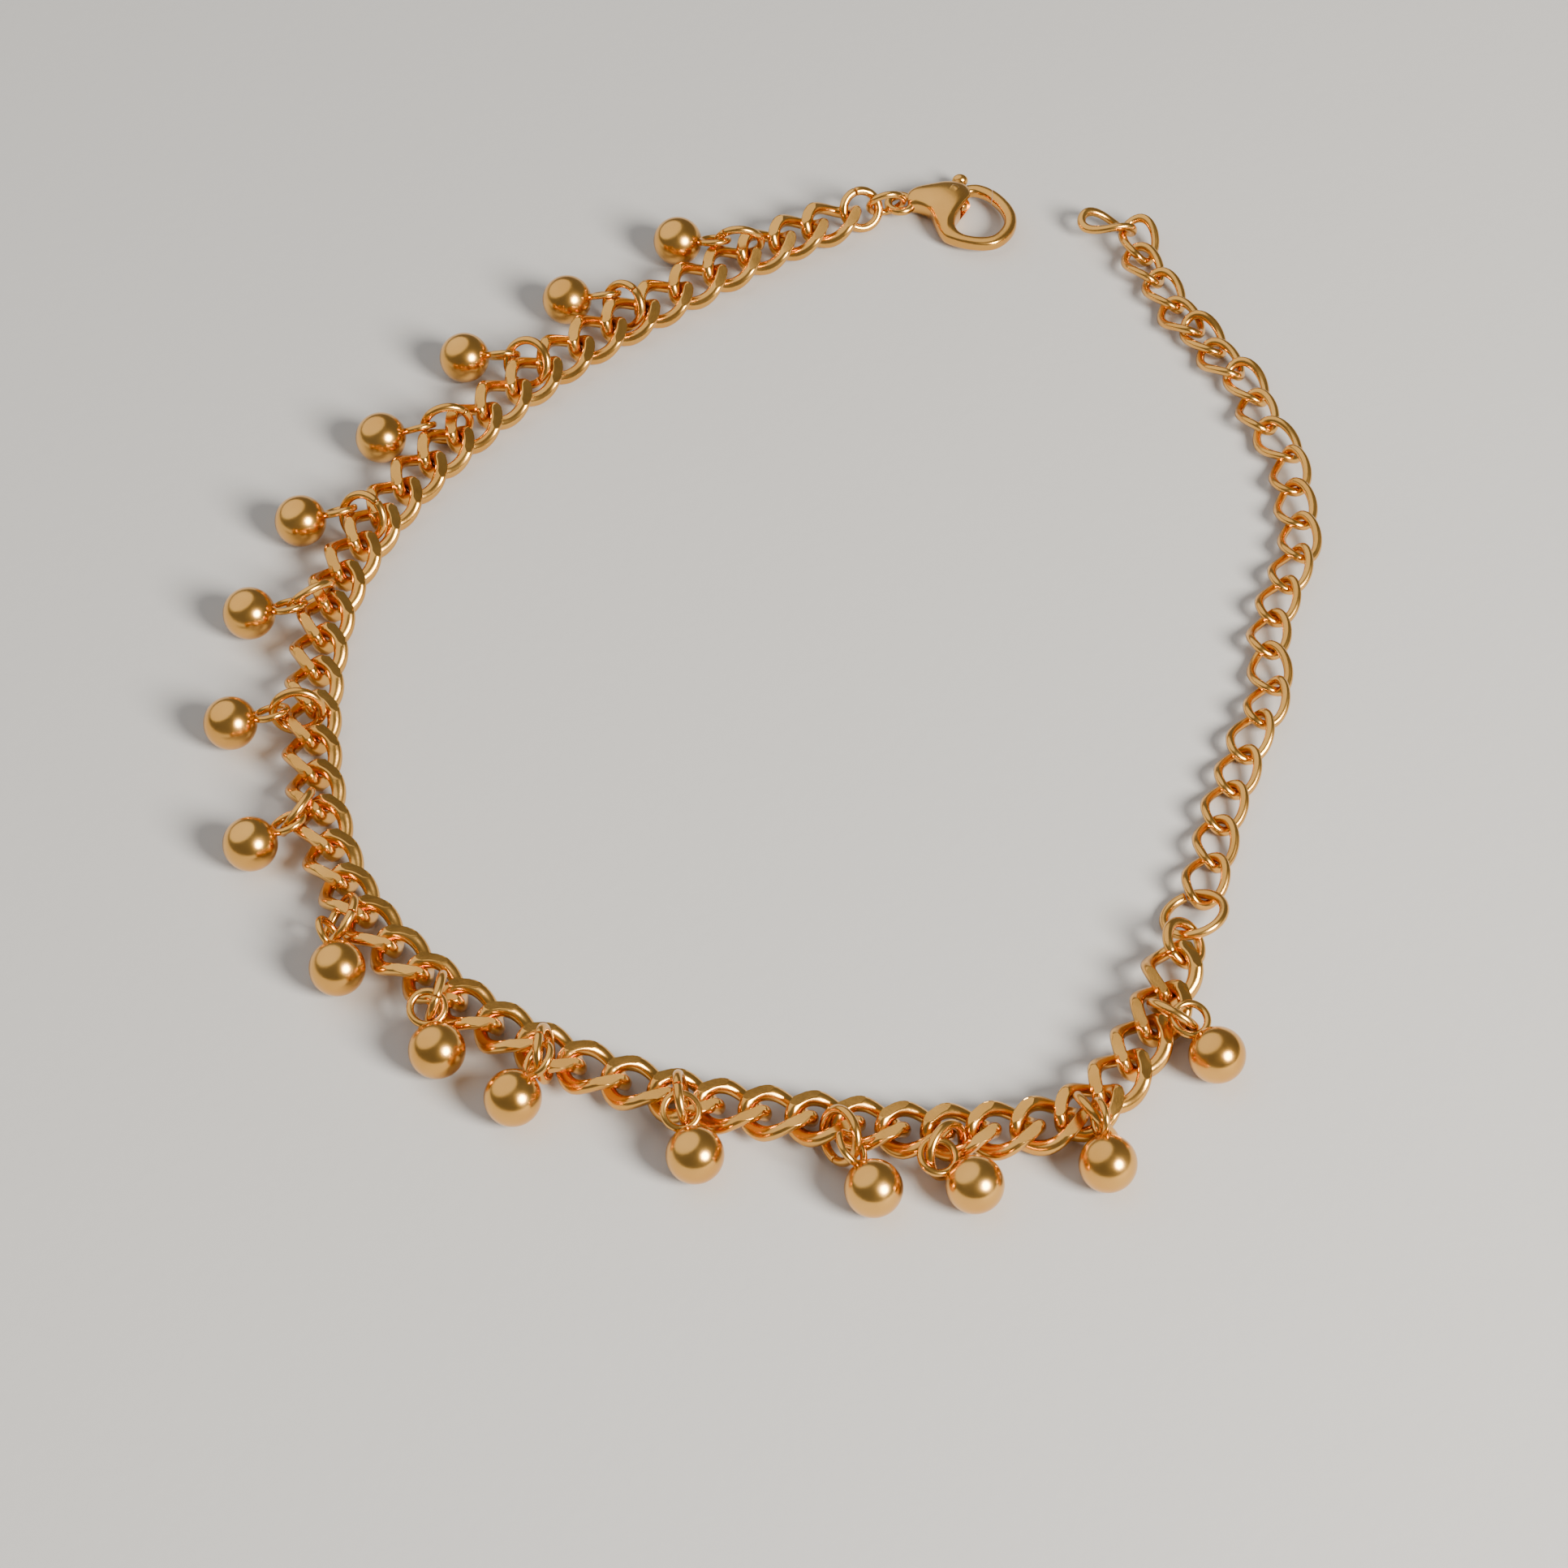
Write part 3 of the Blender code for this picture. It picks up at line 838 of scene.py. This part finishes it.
def curb_link(settings):
    """One twisted curb link, its bars ground flat above and below and the flats' edges eased."""
    link = twisted_link(settings, *CURB_MESH)
    edit(link)
    for side in (1, -1):
        bpy.ops.mesh.select_all(action="SELECT")
        bpy.ops.mesh.bisect(
            plane_co=(0, 0, side * settings.flat),
            plane_no=(0, 0, side),
            use_fill=True,
            clear_outer=True,
        )
    return apply(
        link,
        "BEVEL",
        width=GROUND_EDGE * MM,
        segments=EDGE_SEGMENTS,
        limit_method="ANGLE",
        angle_limit=math.radians(GROUND_EDGE_ANGLE),
        use_clamp_overlap=False,
    )


class ANKLET_OT_curb_chain(bpy.types.Operator):
    """Models one twisted curb link and hangs the copies through each other along the chain"""

    bl_idname = "anklet.curb_chain"
    bl_label = "Curb chain"

    def execute(self, context):
        link = curb_link(context.scene.anklet_chain)
        rows = curb_rows()
        for number, (first, last) in enumerate(RUNS, 1):
            copies = [copy_to(link, placing(*rows[k])) for k in range(first, last - 1, -1)]
            piece = settle(copies, f"links_{number:02d}", material_of("gold_links"))
            apply(piece, "WEIGHTED_NORMAL", keep_sharp=True)
            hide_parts(f"chain_run_{number:02d}")
            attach(piece, "anklet")
        remove(link)
        return {"FINISHED"}


class ANKLET_OT_extender(bpy.types.Operator):
    """Models one open link of thinner wire and copies it along the extender"""

    bl_idname = "anklet.extender"
    bl_label = "Extender"

    def execute(self, context):
        link = twisted_link(context.scene.anklet_extender, *OPEN_MESH)
        for number, (first, last) in enumerate(OPEN_RUNS, 1):
            copies = [
                copy_to(link, placing(x, y, z + EXTENDER_LIFT, *turns))
                for x, y, z, *turns in EXTENDER[first - 1 : last]
            ]
            piece = settle(copies, f"open_links_{number}", material_of("gold_links"))
            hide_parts(f"extender_run_{number}")
            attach(piece, "anklet")
        remove(link)
        return {"FINISHED"}


# Round rings and charms


class ANKLET_OT_round_rings(bpy.types.Operator):
    """Models the four round rings that join the chain to its clasp and its extender"""

    bl_idname = "anklet.round_rings"
    bl_label = "Round rings"

    def execute(self, context):
        split = context.scene.anklet_charms.split
        for name, radius, wire, *place, where in ROUND_RINGS:
            ring = split_ring(radius * MM, wire * MM, split, *ROUND_RING_MESH)
            ring.matrix_world = placing(*place) @ spun(where)
            piece = settle([ring], name + "_wire", material_of("gold_rings"))
            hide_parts(name)
            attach(piece, "anklet")
        return {"FINISHED"}


class ANKLET_OT_charm_rings(bpy.types.Operator):
    """Models one split jump ring and copies it to every charm"""

    bl_idname = "anklet.charm_rings"
    bl_label = "Charm rings"

    def execute(self, context):
        settings = context.scene.anklet_charms
        ring = split_ring(settings.ring, settings.ring_wire, settings.split, *JUMP_RING_MESH)
        for number, (x, y, z, compass, tilt, *_, where) in enumerate(CHARMS, 1):
            place = Matrix.Translation(at(x, y, z))
            copy = copy_to(ring, place @ turned(0, tilt, compass) @ spun(where))
            piece = settle([copy], f"jump_ring_{number:02d}", material_of("gold_rings"))
            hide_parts(f"charm_ring_{number:02d}")
            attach(piece, "anklet")
        remove(ring)
        return {"FINISHED"}


def ball_charm(settings):
    """A ball with a small solder collar at +X and its wire loop standing in it."""
    fresh()
    segments, rings = BALL_MESH
    bpy.ops.mesh.primitive_uv_sphere_add(
        segments=segments, ring_count=rings, radius=settings.ball
    )
    ball = bpy.context.object
    edit(ball)
    bpy.ops.transform.rotate(value=math.pi / 2, orient_axis="Y", center_override=(0, 0, 0))
    bpy.ops.mesh.select_all(action="DESELECT")
    bpy.ops.object.mode_set(mode="OBJECT")
    for face in ball.data.polygons:
        face.select = face.center.x > settings.ball * math.cos(math.radians(COLLAR_ANGLE))
    bpy.ops.object.mode_set(mode="EDIT")
    bpy.ops.mesh.extrude_region_move(
        TRANSFORM_OT_translate={"value": (COLLAR_RISE * MM, 0, 0)}
    )
    bpy.ops.transform.resize(
        value=COLLAR_TAPER, center_override=(settings.ball * COLLAR_PLACE, 0, 0)
    )
    bpy.ops.object.mode_set(mode="OBJECT")
    across = 2 * settings.loop + settings.loop_wire
    loop = wire_oval(across, across, settings.loop_wire, *LOOP_MESH)
    loop.location = (settings.reach, 0, 0)
    return weld(ball, loop)


class ANKLET_OT_charms(bpy.types.Operator):
    """Models one polished ball with its soldered loop and copies it to every charm"""

    bl_idname = "anklet.charms"
    bl_label = "Ball charms"

    def execute(self, context):
        settings = context.scene.anklet_charms
        charm = ball_charm(settings)
        for number, row in enumerate(CHARMS, 1):
            compass, rise, twist, ball_x, ball_y = row[5:10]
            where = Matrix.Translation(at(ball_x, ball_y, settings.ball / MM))
            copy = copy_to(charm, where @ turned(-twist, -rise, compass))
            piece = settle([copy], f"ball_{number:02d}", material_of("gold_balls"), SMOOTH_BALL)
            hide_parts(f"charm_{number:02d}")
            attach(piece, "anklet")
        remove(charm)
        return {"FINISHED"}


# Clasp


def section_facts(row):
    """Middle, heading, width and height of a section given by its two edges."""
    left = at(row[0], row[1]).xy
    right = at(row[2], row[3]).xy
    across = left - right
    middle = (left + right) / 2
    return Vector((*middle, 0)), math.atan2(-across.x, across.y), across.length, row[4] * MM


def cast(rows, settings):
    """A cast arm: one face with round corners drawn out from each section to the next."""
    facts = [section_facts(row) for row in smooth_route(np.array(rows, float), settings.steps)]
    up = Vector((0, 0, settings.middle))
    fresh()
    bpy.ops.mesh.primitive_plane_add(size=1 * MM)
    rod = bpy.context.object
    edit(rod)
    bpy.ops.mesh.bevel(offset=settings.rounding * MM, segments=EDGE_SEGMENTS, affect="VERTICES")
    centre, heading, width, height = facts[0]
    bpy.ops.transform.rotate(value=math.pi / 2, orient_axis="Y", center_override=(0, 0, 0))
    bpy.ops.transform.resize(value=(1, width / MM, height / MM), center_override=(0, 0, 0))
    bpy.ops.transform.rotate(value=-heading, orient_axis="Z", center_override=(0, 0, 0))
    bpy.ops.transform.translate(value=centre + up)
    for before, after in zip(facts, facts[1:]):
        old_centre, old_heading, old_width, old_height = before
        centre, heading, width, height = after
        ahead = (math.cos(heading), math.sin(heading), 0)
        bpy.ops.mesh.extrude_region_move(TRANSFORM_OT_translate={"value": centre - old_centre})
        bpy.ops.transform.rotate(
            value=-(heading - old_heading), orient_axis="Z", center_override=centre + up
        )
        bpy.ops.transform.resize(
            value=(1, width / old_width, height / old_height),
            orient_matrix=(ahead, (-ahead[1], ahead[0], 0), (0, 0, 1)),
            orient_matrix_type="GLOBAL",
            orient_type="GLOBAL",
            center_override=centre + up,
        )
    bpy.ops.object.mode_set(mode="OBJECT")
    return apply(rod, "SUBSURF", levels=1)


def arm_sections(points, width):
    """Sections across an arm of that width and height, from its middle line."""
    points = np.array(points, float)
    ahead = np.gradient(points, axis=0)
    ahead /= np.linalg.norm(ahead, axis=1)[:, None]
    left = np.stack((-ahead[:, 1], ahead[:, 0]), axis=1) * width / 2
    return [(*(point + side), *(point - side), width) for point, side in zip(points, left)]


def pillar(radius, height, middle, edge=0.0, sides=PILLAR_SIDES):
    """A round pillar about the lever's pivot, its two rims rounded where an edge is given."""
    fresh()
    bpy.ops.mesh.primitive_cylinder_add(
        vertices=sides, radius=radius, depth=height, location=raised(*PIVOT, middle)
    )
    column = bpy.context.object
    if edge:
        apply(
            column,
            "BEVEL",
            width=edge,
            segments=EDGE_SEGMENTS,
            limit_method="ANGLE",
            angle_limit=math.radians(PILLAR_EDGE_ANGLE),
        )
    return column


def slot_tool(middle):
    """The room that the lever turns in: a disc, one side of it drawn far out, made thick."""
    inner, outer, first, last, height = SLOT
    fresh()
    bpy.ops.mesh.primitive_circle_add(vertices=SLOT_SIDES, radius=inner * MM, fill_type="NGON")
    tool = bpy.context.object
    edit(tool)
    bpy.ops.mesh.select_all(action="DESELECT")
    bpy.ops.object.mode_set(mode="OBJECT")
    for vertex in tool.data.vertices:
        turn = math.degrees(math.atan2(vertex.co.y, vertex.co.x))
        vertex.select = first <= turn <= last
    bpy.ops.object.mode_set(mode="EDIT")
    bpy.ops.mesh.select_mode(type="VERT")
    grow = outer / inner
    bpy.ops.transform.resize(value=(grow, grow, 1), center_override=(0, 0, 0))
    bpy.ops.mesh.select_all(action="SELECT")
    bpy.ops.transform.translate(value=(0, 0, -height / 2 * MM))
    bpy.ops.mesh.extrude_region_move(TRANSFORM_OT_translate={"value": (0, 0, height * MM)})
    bpy.ops.mesh.select_all(action="SELECT")
    bpy.ops.mesh.normals_make_consistent(inside=False)
    bpy.ops.object.mode_set(mode="OBJECT")
    tool.location = raised(*PIVOT, middle)
    return tool


def tip_tool(middle):
    """The room that the lever's end turns in, beside the claw's tip."""
    fresh()
    bpy.ops.mesh.primitive_cube_add(size=1 * MM, location=raised(*TIP_ROOM, middle))
    tool = bpy.context.object
    edit(tool)
    bpy.ops.transform.resize(value=TIP_ROOM_SIZE)
    bpy.ops.object.mode_set(mode="OBJECT")
    reach = pillar(CLAW_FROM * MM, CLAW_TRIM_HEIGHT * MM, middle, sides=TRIM_SIDES)
    return weld(tool, reach, operation="INTERSECT")


class ANKLET_OT_clasp(bpy.types.Operator):
    """Models the clasp's body with its eye and claw, and the pin"""

    bl_idname = "anklet.clasp"
    bl_label = "Clasp"

    def execute(self, context):
        settings = context.scene.anklet_clasp
        middle = settings.middle
        rows = [*BODY_SECTIONS, *arm_sections(CLAW, CLAW_WIDTH), *TIP_SECTIONS]
        body = cast(rows, settings)
        weld(body, tip_tool(middle), operation="DIFFERENCE")
        eye_x, eye_y, eye_radius, eye_wire = EYE
        across = (2 * eye_radius + eye_wire) * MM
        eye = wire_oval(across, across, eye_wire * MM, *EYE_MESH)
        eye.location = raised(eye_x, eye_y, middle)
        weld(body, eye)
        weld(body, slot_tool(middle), operation="DIFFERENCE")
        weld(body, pillar(settings.pin, 2 * middle - PIN_SUNK * MM, middle, PIN_EDGE * MM))
        piece = settle([body], "clasp_claw", material_of("gold_clasp"), SMOOTH_CAST)
        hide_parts("clasp_body")
        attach(piece, "anklet")
        return {"FINISHED"}


class ANKLET_OT_lever(bpy.types.Operator):
    """Models the clasp's lever: root, arm, tab, and the stem with its thumb knob"""

    bl_idname = "anklet.lever"
    bl_label = "Lever"

    def execute(self, context):
        settings = context.scene.anklet_clasp
        middle = settings.middle
        radius, height, edge = LEVER_ROOT
        lever = pillar(radius * MM, height * MM, middle, edge * MM)
        arm = cast(LEVER_SECTIONS, settings)
        reach = pillar(LEVER_REACH * MM, LEVER_TRIM_HEIGHT * MM, middle, sides=TRIM_SIDES)
        weld(arm, reach, operation="INTERSECT")
        tab = cast(TAB_SECTIONS, settings)
        stem = cast(STEM_SECTIONS, settings)
        fresh()
        knob_x, knob_y, knob_radius = KNOB
        segments, rings = KNOB_MESH
        bpy.ops.mesh.primitive_uv_sphere_add(
            segments=segments, ring_count=rings, radius=knob_radius * MM
        )
        knob = bpy.context.object
        edit(knob)
        bpy.ops.transform.resize(value=KNOB_STRETCH, center_override=(0, 0, 0))
        bpy.ops.object.mode_set(mode="OBJECT")
        knob.location = raised(knob_x, knob_y, middle)
        weld(lever, arm, tab, stem, knob)
        hole = pillar(settings.pin + PIN_PLAY * MM, LEVER_TRIM_HEIGHT * MM, middle)
        weld(lever, hole, operation="DIFFERENCE")
        piece = settle([lever], "clasp_tongue", material_of("gold_clasp"), SMOOTH_CAST)
        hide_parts("clasp_lever")
        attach(piece, "lever")
        return {"FINISHED"}


# Stage


def area_light(name, where, size, power, colour):
    """A round soft light that faces the middle of the floor."""
    data = bpy.data.lights.new(name, "AREA")
    data.shape = "DISK"
    data.size = size
    data.energy = power
    data.color = colour
    light = bpy.data.objects.new(name, data)
    bpy.context.scene.collection.objects.link(light)
    light.location = where
    light.rotation_euler = (-Vector(where)).to_track_quat("-Z", "Y").to_euler()


class ANKLET_OT_stage(bpy.types.Operator):
    """Sets the pale floor, the soft lights and the camera"""

    bl_idname = "anklet.stage"
    bl_label = "Stage"

    def execute(self, context):
        settings = context.scene.anklet_stage
        fresh()
        bpy.ops.mesh.primitive_plane_add(size=settings.floor)
        floor = bpy.context.object
        floor.name = "floor"
        floor.data.materials.append(pale_paper(settings.colour))

        world = bpy.data.worlds.new("studio")
        world.use_nodes = True
        back = world.node_tree.nodes["Background"]
        back.inputs["Color"].default_value = (*ROOM_COLOUR, 1)
        back.inputs["Strength"].default_value = ROOM_STRENGTH
        context.scene.world = world
        for light in LIGHTS:
            area_light(*light)

        data = bpy.data.cameras.new("camera")
        data.lens = settings.lens
        data.sensor_width = SENSOR_WIDTH
        data.clip_start = CLIP_START
        camera = bpy.data.objects.new("camera", data)
        context.scene.collection.objects.link(camera)
        camera.location = at(*CAMERA_PLACE)
        camera.rotation_euler = (math.radians(CAMERA_TILT), 0, 0)
        context.scene.camera = camera
        return {"FINISHED"}


# Panel and registration


class VIEW3D_PT_anklet(bpy.types.Panel):
    """Each group of settings with the steps that use it"""

    bl_label = "Anklet"
    bl_idname = "VIEW3D_PT_anklet"
    bl_space_type = "VIEW_3D"
    bl_region_type = "UI"
    bl_category = "Anklet"

    def draw(self, context):
        for key, _, steps in GROUPS:
            box = self.layout.box()
            settings = getattr(context.scene, key)
            for name in settings.bl_rna.properties.keys():
                if name not in ("rna_type", "name"):
                    box.prop(settings, name)
            for step in steps:
                box.operator(step.bl_idname)


# Name of each group of settings on the scene, its class, and the steps that use it
GROUPS = (
    ("anklet_gold", AnkletGoldSettings, ()),
    ("anklet_chain", AnkletChainSettings, (ANKLET_OT_curb_chain,)),
    ("anklet_extender", AnkletExtenderSettings, (ANKLET_OT_extender,)),
    (
        "anklet_charms",
        AnkletCharmSettings,
        (ANKLET_OT_round_rings, ANKLET_OT_charm_rings, ANKLET_OT_charms),
    ),
    ("anklet_clasp", AnkletClaspSettings, (ANKLET_OT_clasp, ANKLET_OT_lever)),
    ("anklet_stage", AnkletStageSettings, (ANKLET_OT_stage,)),
)
CLASSES = (
    *(cls for _, cls, _ in GROUPS),
    *(step for _, _, steps in GROUPS for step in steps),
    VIEW3D_PT_anklet,
)


def register():
    """Registers the classes and puts each group of settings on the scene."""
    for cls in CLASSES:
        bpy.utils.register_class(cls)
    for key, cls, _ in GROUPS:
        setattr(bpy.types.Scene, key, PointerProperty(type=cls))


def unregister():
    """Takes the settings and the classes away again."""
    for key, _, _ in GROUPS:
        delattr(bpy.types.Scene, key)
    for cls in reversed(CLASSES):
        bpy.utils.unregister_class(cls)


def main():
    """Builds every piece in order."""
    register()
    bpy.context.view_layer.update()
    bpy.ops.anklet.stage()
    bpy.ops.anklet.curb_chain()
    bpy.ops.anklet.extender()
    bpy.ops.anklet.round_rings()
    bpy.ops.anklet.charm_rings()
    bpy.ops.anklet.charms()
    bpy.ops.anklet.clasp()
    bpy.ops.anklet.lever()


if __name__ == "__main__":
    main()
